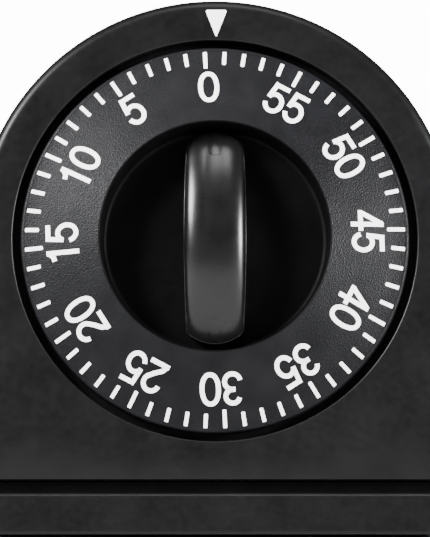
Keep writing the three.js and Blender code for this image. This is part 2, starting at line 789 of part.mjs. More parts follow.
const arborAxes = [secondAxis, thirdAxis, escapeAxis, palletAxis, balanceAxis];

function frontPlate() {
  const holes = [
    rod(mainAxis, mainArborRadius + running, 0, far, facets.medium),
    ...[...arborAxes, hammerPivot].map((at) => rod(at, pivotRadius + running, 0, far, facets.hole)),
    ...pillarAngles.map((angle) => rod(polar(pillarRing, angle), tenonRadius + seat, 0, far, facets.hole)),
    ...movementScrews.map((at) => rod(at, screwShank + seat, 0, far, facets.hole)),
  ];
  return build([rod(mainAxis, plateRadius, frontPlateFront, frontPlateBack, facets.plate)], holes);
}

function rearPlate() {
  const holes = [
    rod(mainAxis, mainArborRadius + running, 0, far, facets.medium),
    ...arborAxes.map((at) => rod(at, pivotRadius + running, 0, far, facets.hole)),
    rod(hammerPivot, arborRadius + running, 0, far, facets.eye),
    ...pillarAngles.map((angle) => rod(polar(pillarRing, angle), tenonRadius + seat, 0, far, facets.hole)),
  ];
  return build([rod(mainAxis, plateRadius, rearPlateFront, rearPlateBack, facets.plate)], holes);
}

const nutThickness = 1.8;

function hexNut(at, boltRadius, width, fromY) {
  const shape = new THREE.Shape();
  for (let corner = 0; corner < 6; corner += 1) {
    const { x, z } = polar(width / 2 / Math.cos(rad(30)), corner * 60);
    if (corner === 0) shape.moveTo(x, z);
    else shape.lineTo(x, z);
  }
  shape.closePath();
  shape.holes.push(ringHole(boltRadius + seat / 2));
  return slab(shape, fromY, fromY + nutThickness, at, steps.nut);
}

function addPillars() {
  pillarAngles.forEach((angle, index) => {
    const at = polar(pillarRing, angle);
    const profile = [
      [0, frontPlateFront],
      [tenonRadius, frontPlateFront],
      [tenonRadius, frontPlateBack + seat / 2],
      [pillarRadius, frontPlateBack + seat / 2],
      [pillarRadius, rearPlateFront - seat / 2],
      [tenonRadius, rearPlateFront - seat / 2],
      [tenonRadius, rearPlateBack + seat + nutThickness],
      [0, rearPlateBack + seat + nutThickness],
    ];
    addPiece(`pillar_${index + 1}`, turned(profile, at, facets.small), "brass");
    const nut = hexNut(at, tenonRadius, pillarNutWidth, rearPlateBack + seat / 2);
    addPiece(`pillar_nut_${index + 1}`, nut, "steel");
  });
}

// ---- arbors, wheels and pinions -----------------------------------------------------------------------

const level = (offset) => frontPlateBack + offset;

// an arbor that runs in both plates
function arborProfile(endY) {
  const frontShoulder = frontPlateBack + seat;
  const rearShoulder = rearPlateFront - seat;
  return [
    [0, frontPlateFront],
    [pivotRadius, frontPlateFront],
    [pivotRadius, frontShoulder],
    [arborRadius, frontShoulder],
    ...(endY > rearPlateBack
      ? [
          [arborRadius, endY],
          [0, endY],
        ]
      : [
          [arborRadius, rearShoulder],
          [pivotRadius, rearShoulder],
          [pivotRadius, endY],
          [0, endY],
        ]),
  ];
}

function arbor(at, endY = rearPlateBack) {
  return turned(arborProfile(endY), at, facets.small);
}

// the leaf gap that faces the wheel takes its tooth
function arborWithPinion(at, wheel, heading) {
  const phase = heading + 180 + 180 / pinionLeaves;
  const shape = toothedShape(pinionLeaves, toothPoints(pinionLeaves, wheel.module, pinionLeaf), phase);
  const from = level(wheel.from - pinionOverhang);
  const to = level(wheel.to + pinionOverhang);
  return arbor(at).add(slab(shape, from, to, at));
}

function trainWheel(wheel, at, heading, boreRadius) {
  const shape = toothedShape(wheel.teeth, toothPoints(wheel.teeth, wheel.module, wheelTooth), heading);
  const rim = (wheel.teeth * wheel.module) / 2 - wheelTooth.dedendum * wheel.module - wheelBody.rim;
  addWindows(shape, wheel.spokes, boreRadius + wheelBody.hub, rim, wheelBody.spoke);
  const blank = slab(shape, level(wheel.from), level(wheel.to), at, steps.block);
  return blank.subtract(rod(at, boreRadius, 0, far, facets.bore));
}

function addTrain() {
  const bore = arborRadius + seat;
  addPiece("great_wheel", trainWheel(great, mainAxis, trainHeading.second, mainArborRadius + seat), "brass");
  addPiece("second_arbor", arborWithPinion(secondAxis, great, trainHeading.second), "steel");
  addPiece("second_wheel", trainWheel(second, secondAxis, trainHeading.third, bore), "brass");
  addPiece("third_arbor", arborWithPinion(thirdAxis, second, trainHeading.third), "steel");
  addPiece("third_wheel", trainWheel(third, thirdAxis, trainHeading.escape, bore), "brass");
  addPiece("escape_arbor", arborWithPinion(escapeAxis, third, trainHeading.escape), "steel");
}

// ---- mainspring drive ---------------------------------------------------------------------------------

function mainArbor() {
  return turned(
    [
      [0, dishFloorY - arborInGrip],
      [mainArborRadius, dishFloorY - arborInGrip],
      [mainArborRadius, rearPlateBack + mainArborTail],
      [0, rearPlateBack + mainArborTail],
    ],
    mainAxis
  );
}

function ratchetWheel() {
  const shape = toothedShape(
    ratchet.teeth,
    [
      [ratchet.root, ratchet.steep],
      [ratchet.tip, 1 - ratchet.steep],
    ],
    -90
  );
  shape.holes.push(ringHole(mainArborRadius + seat));
  return slab(shape, level(ratchet.from), level(ratchet.to));
}

// a pawl whose nose rests in the ratchet's lowest gap
function click() {
  const { x, z, radius, hole, opening } = clickEye;
  const shape = new THREE.Shape();
  shape.moveTo(clickNose.x, clickNose.z);
  shape.lineTo(clickHeel.x, clickHeel.z);
  shape.absarc(x, z, radius, rad(-opening), rad(opening), false);
  shape.lineTo(clickShoulder.x, clickShoulder.z);
  shape.closePath();
  shape.holes.push(new THREE.Path().absarc(x, z, hole, 0, 2 * Math.PI, true));
  return slab(shape, level(ratchet.from), level(ratchet.to), mainAxis, steps.small);
}

// a leaf that presses the click home, and the eye that holds it
function clickSpring() {
  const { inner, outer, fromAngle, toAngle, eyeRadius, eyeOffset } = clickLeaf;
  const shape = new THREE.Shape();
  shape.absarc(0, 0, outer, rad(fromAngle), rad(toAngle), false);
  shape.absarc(0, 0, inner, rad(toAngle), rad(fromAngle), true);
  shape.closePath();
  const [from, to] = [level(ratchet.from), level(ratchet.to)];
  const leaf = slab(shape, from, to, mainAxis, steps.medium);
  return leaf.add(rod(polar(inner + eyeOffset, 180), eyeRadius, from, to, facets.medium));
}

// a flat strip wound in a spiral
function mainspring() {
  const count = spring.turns * spring.facetsPerTurn;
  const edge = (shift, index) => {
    const share = index / count;
    const radius = spring.inner + (spring.outer - spring.inner) * share + shift;
    const angle = share * spring.turns * 2 * Math.PI;
    return new THREE.Vector2(radius * Math.cos(angle), radius * Math.sin(angle));
  };
  const outside = [];
  const inside = [];
  for (let index = 0; index <= count; index += 1) {
    outside.push(edge(spring.strip / 2, index));
    inside.unshift(edge(-spring.strip / 2, index));
  }
  return slab(new THREE.Shape([...outside, ...inside]), level(spring.from), level(spring.to));
}

function springPost() {
  const at = { x: spring.outer + spring.strip / 2 + springPostRadius + seat / 2, z: 0 };
  return rod(at, springPostRadius, frontPlateBack + seat / 2, level(spring.to) + springPostTail, facets.eye);
}

function addDrive() {
  addPiece("main_arbor", mainArbor(), "steel");
  addPiece("ratchet_wheel", ratchetWheel(), "steel");
  addPiece("click", click(), "steel");
  addPiece("click_spring", clickSpring(), "springSteel");
  addPiece("mainspring", mainspring(), "springSteel");
  addPiece("spring_post", springPost(), "steel");
}

// ---- escapement and balance ---------------------------------------------------------------------------

// a tooth on the line of centres, so that both pallet pins face a gap
function escapeWheel() {
  const shape = toothedShape(
    escape.teeth,
    [
      [escape.root, -escapeTooth.rootHalf],
      [escape.tip, -escapeTooth.tipHalf],
      [escape.tip, escapeTooth.tipHalf],
      [escape.root, escapeTooth.rootHalf],
    ],
    trainHeading.pallet
  );
  shape.holes.push(ringHole(arborRadius + seat));
  return slab(shape, level(escape.from), level(escape.to), escapeAxis, steps.small);
}

function leverFrame() {
  const [from, to] = [level(palletLever.from), level(palletLever.to)];
  const along = (offset) => polar(forkReach + offset, trainHeading.balance, palletAxis);
  const slotStart = along(fork.slotFrom);
  return build(
    [
      rod(palletAxis, arborRadius + seat + palletArm.hub, from, to, facets.medium),
      ...palletPins.map((pin) => arm(palletAxis, pin, palletArm.width, from, to)),
      ...palletPins.map((pin) => rod(pin, palletArm.padRadius, from, to, facets.eye)),
      arm(palletAxis, slotStart, palletArm.tailWidth, from, to),
      arm(along(fork.from), along(fork.to), fork.width, from, to),
    ],
    [
      rod(palletAxis, arborRadius + seat, 0, far, facets.eye),
      arm(slotStart, along(fork.slotTo), forkSlotWidth, 0, far),
      ...palletPins.map((pin) => rod(pin, palletPinRadius + seat / 2, 0, far, facets.small)),
    ]
  );
}

function balanceWheel() {
  const shape = discShape(balance.radius);
  const hub = impulseReach + impulsePinRadius + balance.hubMargin;
  addWindows(shape, 2, hub, balance.radius - balance.rim, balance.spoke);
  shape.holes.push(ringHole(arborRadius + seat / 2));
  return slab(shape, level(balance.from), level(balance.to), balanceAxis, steps.medium);
}

function addEscapement() {
  addPiece("escape_wheel", escapeWheel(), "brass");
  addPiece("pallet_arbor", arbor(palletAxis), "steel");
  addPiece("pallet_lever", leverFrame(), "brass");
  palletPins.forEach((pin, index) => {
    const [from, to] = [level(palletLever.from), level(escape.to + pinTail)];
    addPiece(`pallet_pin_${index + 1}`, rod(pin, palletPinRadius, from, to, facets.small), "steel");
  });
  addPiece("balance_staff", arbor(balanceAxis), "steel");
  addPiece("balance_wheel", balanceWheel(), "brass");
  const pinFront = level(palletLever.from - impulsePinLead);
  const pinBack = level(balance.from) - seat / 2;
  const pin = rod(impulsePin, impulsePinRadius, pinFront, pinBack, facets.small);
  addPiece("impulse_pin", pin, "steel");
}

// ---- alarm --------------------------------------------------------------------------------------------

// the notch is under the lever's nose with the dial at zero and at the end of its travel
function tripCamDisc() {
  const middle = tripNoseAngle - (360 - dialTravel) / 2;
  const start = rad(middle + tripCam.notchHalf);
  const end = rad(middle - tripCam.notchHalf + 360);
  const shape = new THREE.Shape();
  shape.absarc(0, 0, tripCam.radius, start, end, false);
  shape.absarc(0, 0, tripCam.notchFloor, end - 2 * Math.PI, start, false);
  shape.closePath();
  shape.holes.push(ringHole(mainArborRadius + seat));
  return slab(shape, level(tripCam.from), level(tripCam.to));
}

function tripLever() {
  const [from, to] = [level(tripCam.from), level(tripCam.to)];
  const elbow = polar(tripCam.radius + tripArm.elbowRise, tripNoseAngle);
  const nose = polar(tripCam.radius + tripClearance, tripNoseAngle);
  const towardsHammer = THREE.MathUtils.radToDeg(
    Math.atan2(hammerPivot.z - tripAxis.z, hammerPivot.x - tripAxis.x)
  );
  const tail = polar(tripArm.tail, towardsHammer, tripAxis);
  return build(
    [
      rod(tripAxis, tripStud.radius + tripArm.hub, from, to, facets.wide),
      arm(tripAxis, elbow, tripArm.width, from, to),
      rod(elbow, tripArm.elbowRadius, from, to, facets.eye),
      arm(elbow, nose, tripArm.noseWidth, from, to),
      arm(tripAxis, tail, tripArm.tailWidth, from, to),
    ],
    [rod(tripAxis, tripStud.radius + running, 0, far, facets.medium)]
  );
}

const hammerFront = rearPlateBack + hammerArmForm.offset;
const hammerLevel = [hammerFront, hammerFront + hammerArmForm.thickness];

function hammerArm() {
  const [from, to] = hammerLevel;
  const { hub, width } = hammerArmForm;
  const end = polar(hammerLength - hammerHeadRadius - seat / 2, hammerHeading, hammerPivot);
  return build(
    [rod(hammerPivot, arborRadius + hub, from, to, facets.medium), arm(hammerPivot, end, width, from, to)],
    [rod(hammerPivot, arborRadius + seat / 2, 0, far, facets.eye)]
  );
}

function hammerHead() {
  const at = polar(hammerLength, hammerHeading, hammerPivot);
  const [from, to] = hammerLevel;
  return rod(at, hammerHeadRadius, from - hammerHeadOverhang, to + hammerHeadOverhang, facets.wide);
}

function bellCup() {
  const inner = bellRadius - bellWall;
  const boreRadius = bellPostRadius / 2 + seat / 2;
  const curve = (radius, depth) =>
    [0, 30, 60, 90].map((degrees) => [
      radius - bellShoulder.across * (1 - Math.cos(rad(degrees))),
      bellMouthY + depth - bellShoulder.deep * (1 - Math.sin(rad(degrees))),
    ]);
  const profile = [
    [inner, bellMouthY],
    [bellRadius, bellMouthY],
    ...curve(bellRadius, bellDepth),
    [boreRadius, bellBackY],
    [boreRadius, bellBackY - bellWall],
    ...curve(inner, bellDepth - bellWall).reverse(),
    [inner, bellMouthY],
  ];
  return turned(profile, bellCentre, facets.plate);
}

function bellPost() {
  const shoulder = bellBackY - bellWall - seat / 2;
  return turned(
    [
      [0, rearPlateBack + seat / 2],
      [bellPostRadius, rearPlateBack + seat / 2],
      [bellPostRadius, shoulder],
      [bellPostRadius / 2, shoulder],
      [bellPostRadius / 2, bellPostEnd],
      [0, bellPostEnd],
    ],
    bellCentre,
    facets.medium
  );
}

function bellNut() {
  const nut = hexNut(bellCentre, bellPostRadius / 2, bellNutWidth, bellBackY + seat / 2);
  return nut.subtract(box(everything, [bellBackY + seat / 2 + bellNutThickness, far], everything));
}

function addAlarm() {
  addPiece("trip_cam", tripCamDisc(), "steel");
  const studFront = level(tripCam.from) - tripStud.lead;
  const stud = rod(tripAxis, tripStud.radius, studFront, rearPlateFront - seat / 2, facets.medium);
  addPiece("trip_stud", stud, "steel");
  addPiece("trip_lever", tripLever(), "steel");
  addPiece("hammer_arbor", arbor(hammerPivot, hammerLevel[1] + hammerArborTail), "steel");
  addPiece("hammer_arm", hammerArm(), "springSteel");
  addPiece("hammer_head", hammerHead(), "brass");
  addPiece("bell", bellCup(), "bell");
  addPiece("bell_post", bellPost(), "steel");
  addPiece("bell_nut", bellNut(), "steel");
}

// ---- assembly -----------------------------------------------------------------------------------------

addPiece("front_case", frontCase(), "case");
addPiece("rear_cover", rearCover(), "case");
addPiece("base", plinth(), "case", upright);
addPiece("base_plate", basePlate(), "case", upright);
addFeet();
addCaseScrews();
addBaseScrews();
addPiece("dial", dial(), "dial");
addPiece("grip_bar", gripBar(), "grip");
addPiece("front_plate", frontPlate(), "brass");
addPiece("rear_plate", rearPlate(), "brass");
addPillars();
addMovementScrews();
addDrive();
addTrain();
addEscapement();
addAlarm();

const extent = new THREE.Box3().setFromObject(timer, true);
const centre = extent.getCenter(new THREE.Vector3());
timer.position.set(-centre.x, -centre.y, -extent.min.z);

export default timer;
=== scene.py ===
"""A mechanical kitchen timer in a plain studio.

The case, the dial and the grip are drawn in a leaning frame, in millimetres: x to the right, y into
the body, z up along the face, with its origin on the dial axis in the plane of the face. Their sizes
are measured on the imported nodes. Finished meshes are in metres, in the row frame.
"""

import json
import math

import bmesh
import bpy
from mathutils import Matrix, Vector


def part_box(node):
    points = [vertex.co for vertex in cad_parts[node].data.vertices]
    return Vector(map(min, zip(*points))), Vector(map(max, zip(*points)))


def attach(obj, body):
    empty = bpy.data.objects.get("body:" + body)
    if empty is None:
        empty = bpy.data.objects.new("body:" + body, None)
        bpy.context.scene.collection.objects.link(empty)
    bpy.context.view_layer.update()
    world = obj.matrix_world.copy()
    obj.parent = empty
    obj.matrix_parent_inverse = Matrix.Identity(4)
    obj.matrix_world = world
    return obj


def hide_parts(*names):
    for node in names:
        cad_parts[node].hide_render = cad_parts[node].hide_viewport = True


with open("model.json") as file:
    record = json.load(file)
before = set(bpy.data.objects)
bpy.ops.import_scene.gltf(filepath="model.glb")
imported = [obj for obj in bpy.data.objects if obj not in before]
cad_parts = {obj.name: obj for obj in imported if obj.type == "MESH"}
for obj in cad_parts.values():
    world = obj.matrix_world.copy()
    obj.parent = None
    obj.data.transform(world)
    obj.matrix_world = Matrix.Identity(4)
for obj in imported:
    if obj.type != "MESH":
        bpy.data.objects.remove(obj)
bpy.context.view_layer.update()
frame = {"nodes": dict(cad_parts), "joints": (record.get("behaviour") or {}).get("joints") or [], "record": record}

MM = 0.001

# ---- the leaning frame, from the dial's joint -------------------------------------------------------------

AXIS_TO_FACE = 11.0  # from the joint's point forward to the plane of the face
DIAL_JOINT = next(joint for joint in frame["joints"] if joint["name"] == "dial_turn")
INWARD = Vector(DIAL_JOINT["axis"]).normalized()
FACE_ORIGIN = Vector(DIAL_JOINT["pos_m"]) - INWARD * AXIS_TO_FACE * MM
LEAN = math.atan2(-INWARD.z, INWARD.y)
TO_ROW = Matrix.Translation(FACE_ORIGIN) @ Matrix.Rotation(-LEAN, 4, "X") @ Matrix.Scale(MM, 4)
TO_FACE = TO_ROW.inverted()


def leaning_box(node):
    """Lowest and highest corner of a CAD node in the leaning frame, in millimetres."""
    points = [TO_FACE @ v.co for v in frame["nodes"][node].data.vertices]
    low = Vector([min(p[i] for p in points) for i in range(3)])
    high = Vector([max(p[i] for p in points) for i in range(3)])
    return low, high


# ---- sizes ------------------------------------------------------------------------------------------------

_, CASE_HIGH = leaning_box("front_case")
_, DIAL_HIGH = leaning_box("dial")
GRIP_LOW, GRIP_HIGH = leaning_box("grip_bar")

CASE_RADIUS = CASE_HIGH.x
ARCH_LIFT = CASE_HIGH.z - CASE_RADIUS
CASE_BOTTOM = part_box("front_case")[0].z / MM  # an upright height
REAR_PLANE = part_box("rear_cover")[1].y / MM  # an upright plane
WALL = 2.4
SHADOW_GAP = 2.6  # height of the groove between the case and the plinth
NECK_DEPTH = 3.0  # how far the groove goes in, all round
SEAM = 30.0  # from the face back to the seam with the rear cover
SEAM_GAP = 0.3
EDGE_RADIUS = 2.2
BOTTOM_ROUND = 0.5
REAR_ROUND = 1.8
LIP_ROUND = 0.45
PAN_FLOOR = 5.5
PAN_THICKNESS = 2.0
PAN_WALL = 1.9
CENTRE_HOLE = 5.2

DIAL_RADIUS = DIAL_HIGH.x
DIAL_GAP = 1.7
OPENING_RADIUS = DIAL_RADIUS + DIAL_GAP
RIM_PROUD = 0.8
RIM_WIDTH = 1.0
RIM_DEPTH = 3.0  # how far the dial's rim reaches behind the face
DIAL_SHELL = 2.0  # thickness of the dial's moulding
CONE_RISE = 6.0
DISH_RADIUS = 24.7
DISH_DEPTH = 8.3
DISH_DRAFT = 0.6
DISH_FILLET = 1.0
CONE_EDGE = DIAL_RADIUS - RIM_WIDTH
CONE_SLOPE = CONE_RISE / (CONE_EDGE - DISH_RADIUS)
DISH_EDGE_Y = -RIM_PROUD - CONE_RISE
DISH_FLOOR_Y = DISH_EDGE_Y + DISH_DEPTH

GRIP_BULGE = 0.45  # of each side, between the corners
GRIP_HALF_WIDTH = GRIP_HIGH.x - GRIP_BULGE  # at the corners
GRIP_HALF_LENGTH = GRIP_HIGH.z
GRIP_END_SAG = 2.4
GRIP_CORNER = 1.2
GRIP_CROWN_Y = GRIP_LOW.y
GRIP_CROWN_RADIUS = 40.0

SCREW_SHANK = 1.1
SCREW_HEAD_HEIGHT = 1.5
SCREW_SLOT = (0.7, 0.6)  # width and depth

PRINT_RAISE = 0.04  # above the surface it lies on
PRINT_SINK = 0.06  # into that surface


# ---- meshes -----------------------------------------------------------------------------------------------


def add_mesh(name, vertices, faces, matrix=TO_ROW, sharp=35.0):
    """A smooth-shaded object whose edges stay sharp where its faces meet at more than the angle."""
    mesh = bpy.data.meshes.new(name)
    mesh.from_pydata([matrix @ Vector(v) for v in vertices], [], faces)
    shell = bmesh.new()
    shell.from_mesh(mesh)
    bmesh.ops.recalc_face_normals(shell, faces=shell.faces)
    shell.to_mesh(mesh)
    shell.free()
    obj = bpy.data.objects.new(name, mesh)
    bpy.context.scene.collection.objects.link(obj)
    smooth(obj, sharp)
    return obj


def smooth(obj, sharp=35.0):
    for face in obj.data.polygons:
        face.use_smooth = True
    obj.data.set_sharp_from_angle(angle=math.radians(sharp))


def loft(name, rings, closed=False, caps=False, matrix=TO_ROW, sharp=35.0, across=False):
    """Joins rings of points, each with the same count. closed joins the last ring to the first.

    across fills the last ring with strips from its right side to its left, so that it can be curved.
    """
    count = len(rings[0])
    vertices = [point for ring in rings for point in ring]
    faces = []
    for first in range(len(rings) if closed else len(rings) - 1):
        second = (first + 1) % len(rings)
        for i in range(count):
            j = (i + 1) % count
            faces.append((first * count + i, first * count + j, second * count + j, second * count + i))
    if caps:
        last = (len(rings) - 1) * count
        faces.append(tuple(range(count)))
        faces += strips(last, count) if across else [tuple(range(last, last + count))]
    return add_mesh(name, vertices, faces, matrix, sharp)


def strips(start, count):
    """Faces across a ring that begins in the middle of its right side and is the same left and right."""
    faces = []
    for i in range(-count // 4, count // 4):
        near = [i % count, (i + 1) % count]
        far = [(count // 2 - i - 1) % count, (count // 2 - i) % count]
        corners = near + [corner for corner in far if corner not in near]
        faces.append(tuple(start + corner for corner in corners))
    return faces


def circle(radius, y, around, x=0.0, z=0.0):
    step = 2 * math.pi / around
    return [(x + radius * math.cos(i * step), y, z + radius * math.sin(i * step)) for i in range(around)]


def turn(name, profile, around, at=(0.0, 0.0), matrix=TO_ROW, closed=False):
    """A profile of (radius, y) points turned about the dial axis's direction through a place in the face."""
    rings = [circle(radius, y, around, at[0], at[1]) for radius, y in profile]
    return loft(name, rings, closed=closed, caps=not closed, matrix=matrix)


def quarter(centre, radii, start, end, steps=6):
    """Points of an arc, in degrees."""
    points = []
    for i in range(steps + 1):
        angle = math.radians(start + (end - start) * i / steps)
        points.append((centre[0] + radii[0] * math.cos(angle), centre[1] + radii[1] * math.sin(angle)))
    return points


def combine(obj, tool, operation="DIFFERENCE"):
    """Cuts or joins with a tool, which is then removed."""
    modifier = obj.modifiers.new("cut", "BOOLEAN")
    modifier.object = tool
    modifier.operation = operation
    modifier.solver = "EXACT"
    graph = bpy.context.evaluated_depsgraph_get()
    made = bpy.data.meshes.new_from_object(obj.evaluated_get(graph))
    obj.modifiers.remove(modifier)
    obj.data = made
    bpy.data.objects.remove(tool)
    smooth(obj)
    return obj


def bevelled(obj, width, segments=4, angle=40.0):
    modifier = obj.modifiers.new("edges", "BEVEL")
    modifier.width = width * MM
    modifier.segments = segments
    modifier.limit_method = "ANGLE"
    modifier.angle_limit = math.radians(angle)
    modifier.harden_normals = True
    return obj


def prism(name, outline, low, high, matrix, axis="y"):
    """A straight prism of an outline: in x and z when it runs along y, in y and z when along x."""
    if axis == "y":
        rings = [[(a, at, b) for a, b in outline] for at in (low, high)]
    else:
        rings = [[(at, a, b) for a, b in outline] for at in (low, high)]
    return loft(name, rings, caps=True, matrix=matrix)


UPRIGHT = Matrix.Scale(MM, 4)

# ---- materials --------------------------------------------------------------------------------------------


class Shader:
    """A Principled material whose colour, roughness and bump are built by small calls."""

    def __init__(self, name, **sockets):
        self.material = bpy.data.materials.new(name)
        self.material.use_nodes = True
        self.tree = self.material.node_tree
        self.surface = self.tree.nodes["Principled BSDF"]
        for socket, value in sockets.items():
            self.surface.inputs[socket.replace("_", " ")].default_value = value
        self.place = self.tree.nodes.new("ShaderNodeTexCoord").outputs["Object"]

    def stretched(self, scale):
        mapping = self.tree.nodes.new("ShaderNodeMapping")
        mapping.inputs["Scale"].default_value = scale
        self.tree.links.new(self.place, mapping.inputs["Vector"])
        return mapping.outputs["Vector"]

    def noise(self, size, detail=3.0, vector=None):
        """Noise whose features are about size millimetres across."""
        node = self.tree.nodes.new("ShaderNodeTexNoise")
        node.inputs["Scale"].default_value = 1.0 / (size * MM)
        node.inputs["Detail"].default_value = detail
        self.tree.links.new(vector or self.place, node.inputs["Vector"])
        return node.outputs["Fac"]

    def grains(self, size):
        """Rounded grains, as on a stippled mould."""
        node = self.tree.nodes.new("ShaderNodeTexVoronoi")
        node.feature = "SMOOTH_F1"
        node.inputs["Scale"].default_value = 1.0 / (size * MM)
        self.tree.links.new(self.place, node.inputs["Vector"])
        return node.outputs["Distance"]

    def roughness(self, pattern, low, high):
        node = self.tree.nodes.new("ShaderNodeMapRange")
        node.inputs["From Min"].default_value = 0.3
        node.inputs["From Max"].default_value = 0.7
        node.inputs["To Min"].default_value = low
        node.inputs["To Max"].default_value = high
        self.tree.links.new(pattern, node.inputs["Value"])
        self.tree.links.new(node.outputs["Result"], self.surface.inputs["Roughness"])

    def colours(self, pattern, dark, light):
        node = self.tree.nodes.new("ShaderNodeValToRGB")
        node.color_ramp.elements[0].position = 0.3
        node.color_ramp.elements[1].position = 0.7
        node.color_ramp.elements[0].color = (*dark, 1)
        node.color_ramp.elements[1].color = (*light, 1)
        self.tree.links.new(pattern, node.inputs["Fac"])
        self.tree.links.new(node.outputs["Color"], self.surface.inputs["Base Color"])

    def bump(self, pattern, height, strength=1.0):
        """Height in millimetres. A second call lies on the first."""
        node = self.tree.nodes.new("ShaderNodeBump")
        node.inputs["Strength"].default_value = strength
        node.inputs["Distance"].default_value = height * MM
        self.tree.links.new(pattern, node.inputs["Height"])
        before = self.surface.inputs["Normal"]
        if before.is_linked:
            self.tree.links.new(before.links[0].from_socket, node.inputs["Normal"])
        self.tree.links.new(node.outputs["Normal"], before)


def case_plastic():
    made = Shader("case_plastic", Specular_IOR_Level=0.14)
    made.colours(made.noise(9.0), (0.0022, 0.0022, 0.0024), (0.0042, 0.0042, 0.0045))
    made.roughness(made.noise(1.4), 0.33, 0.42)
    made.bump(made.noise(0.26, 2.0), 0.010)
    made.bump(made.noise(16.0, 1.0), 0.02, 0.5)
    return made.material


def dial_plastic():
    made = Shader("dial_plastic", Specular_IOR_Level=0.09)
    made.colours(made.noise(6.0), (0.0024, 0.0024, 0.0030), (0.0052, 0.0052, 0.0062))
    made.roughness(made.noise(0.8), 0.36, 0.46)
    made.bump(made.grains(0.24), 0.075)
    made.bump(made.noise(0.14, 1.0), 0.014)
    return made.material


# Near-black painted shade: a darker copy of the plastics, laid on the dial's dish and on the plinth's neck in the
# groove, where shade falls.
def dish_plastic():
    made = Shader("dish_plastic", Specular_IOR_Level=0.05)
    made.colours(made.noise(7.0), (0.0008, 0.0008, 0.0010), (0.0018, 0.0018, 0.0020))
    made.roughness(made.noise(1.2), 0.45, 0.58)
    made.bump(made.noise(0.30, 2.0), 0.010)
    return made.material


def grip_plastic():
    made = Shader("grip_plastic", Specular_IOR_Level=0.2, Coat_Weight=0.2, Coat_Roughness=0.25)
    made.colours(made.noise(5.0), (0.0022, 0.0022, 0.0024), (0.0040, 0.0040, 0.0043))
    made.roughness(made.noise(2.2), 0.27, 0.31)
    made.bump(made.grains(0.22), 0.010)
    made.bump(made.noise(0.5, 2.0), 0.002)
    return made.material


def print_white():
    made = Shader("print_white")
    made.colours(made.noise(0.5), (0.90, 0.90, 0.90), (0.96, 0.96, 0.95))
    made.roughness(made.noise(0.7), 0.45, 0.58)
    made.bump(made.noise(0.12, 1.0), 0.004)
    return made.material


def rubber():
    made = Shader("rubber")
    made.colours(made.noise(2.5), (0.012, 0.012, 0.012), (0.022, 0.022, 0.021))
    made.roughness(made.noise(0.9), 0.75, 0.92)
    made.bump(made.noise(0.25), 0.02)
    return made.material


def metal(name, dark, light, low, high, brushing=(1.0, 1.0, 1.0), height=0.003):
    made = Shader(name, Metallic=1.0)
    made.colours(made.noise(3.0), dark, light)
    strokes = made.noise(0.35, 3.0, made.stretched(brushing))
    made.roughness(strokes, low, high)
    made.bump(strokes, height)
    return made.material


MATERIALS = {
    "case_plastic": case_plastic(),
    "dial_plastic": dial_plastic(),
    "dish_plastic": dish_plastic(),
    "grip_plastic": grip_plastic(),
    "print_white": print_white(),
    "rubber": rubber(),
    "steel": metal("steel", (0.50, 0.51, 0.53), (0.66, 0.67, 0.69), 0.24, 0.38, (0.12, 1, 1)),
    "spring_steel": metal("spring_steel", (0.10, 0.12, 0.17), (0.20, 0.22, 0.27), 0.22, 0.34, (1, 0.15, 1)),
    "brass": metal("brass", (0.62, 0.43, 0.17), (0.78, 0.58, 0.26), 0.24, 0.40, (1, 1, 0.12)),
    "bell_metal": metal("bell_metal", (0.66, 0.67, 0.69), (0.78, 0.79, 0.80), 0.08, 0.16, height=0.001),
}


def finish_piece(obj, slot, body, *nodes, material=None):
    """Gives a piece its material, its body and the CAD nodes that it stands for."""
    obj.data.materials.clear()
    obj.data.materials.append(MATERIALS[material or slot])
    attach(obj, body)
    if nodes:
        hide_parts(*nodes)
    return obj


# ---- case -------------------------------------------------------------------------------------------------

ARC_STEPS = 128
SIDE_STEPS = 12
FLOOR_STEPS = 24
ROUND_STEPS = 8
LIP_STEPS = 4


def floor_z(y, inset=0.0):
    """Height in the leaning frame of the case's level underside, at a depth."""
    origin = FACE_ORIGIN / MM
    return (CASE_BOTTOM + inset - origin.z + math.sin(LEAN) * y) / math.cos(LEAN)


def rear_y(z, inset=0.0):
    """Depth in the leaning frame of the upright back plane, at a height along the face."""
    origin = FACE_ORIGIN / MM
    return (REAR_PLANE - inset - origin.y - math.sin(LEAN) * z) / math.cos(LEAN)


def arch_ring(radius, bottom, depth_at):
    """A ring round the arch: the underside, the right side, the arc and the left side."""
    rise = ARCH_LIFT - bottom
    flat = [(-radius + 2 * radius * i / FLOOR_STEPS, bottom) for i in range(FLOOR_STEPS)]
    right = [(radius, bottom + rise * i / SIDE_STEPS) for i in range(SIDE_STEPS)]
    left = [(-radius, ARCH_LIFT - rise * i / SIDE_STEPS) for i in range(SIDE_STEPS)]
    top = []
    for i in range(ARC_STEPS):
        angle = math.pi * i / ARC_STEPS
        top.append((radius * math.cos(angle), ARCH_LIFT + radius * math.sin(angle)))
    return [(x, depth_at(z), z) for x, z in flat + right + top + left]


def arch(y, inset=0.0, floor_inset=0.0):
    """The arch at one depth."""
    return arch_ring(CASE_RADIUS - inset, floor_z(y, floor_inset), lambda z: y)


def rear_arch(back, inset, floor_inset):
    """The arch on an upright plane that lies this far in front of the back plane."""
    corner = TO_FACE @ (Vector((0, REAR_PLANE - back, CASE_BOTTOM + floor_inset)) * MM)
    return arch_ring(CASE_RADIUS - inset, corner.z, lambda z: rear_y(z, back))


FAN = [math.atan2(z, x) for x, _, z in arch(0.0)]


def matched_circle(radius, y):
    """A circle whose points lie in the same directions as the arch's."""
    return [(radius * math.cos(angle), y, radius * math.sin(angle)) for angle in FAN]


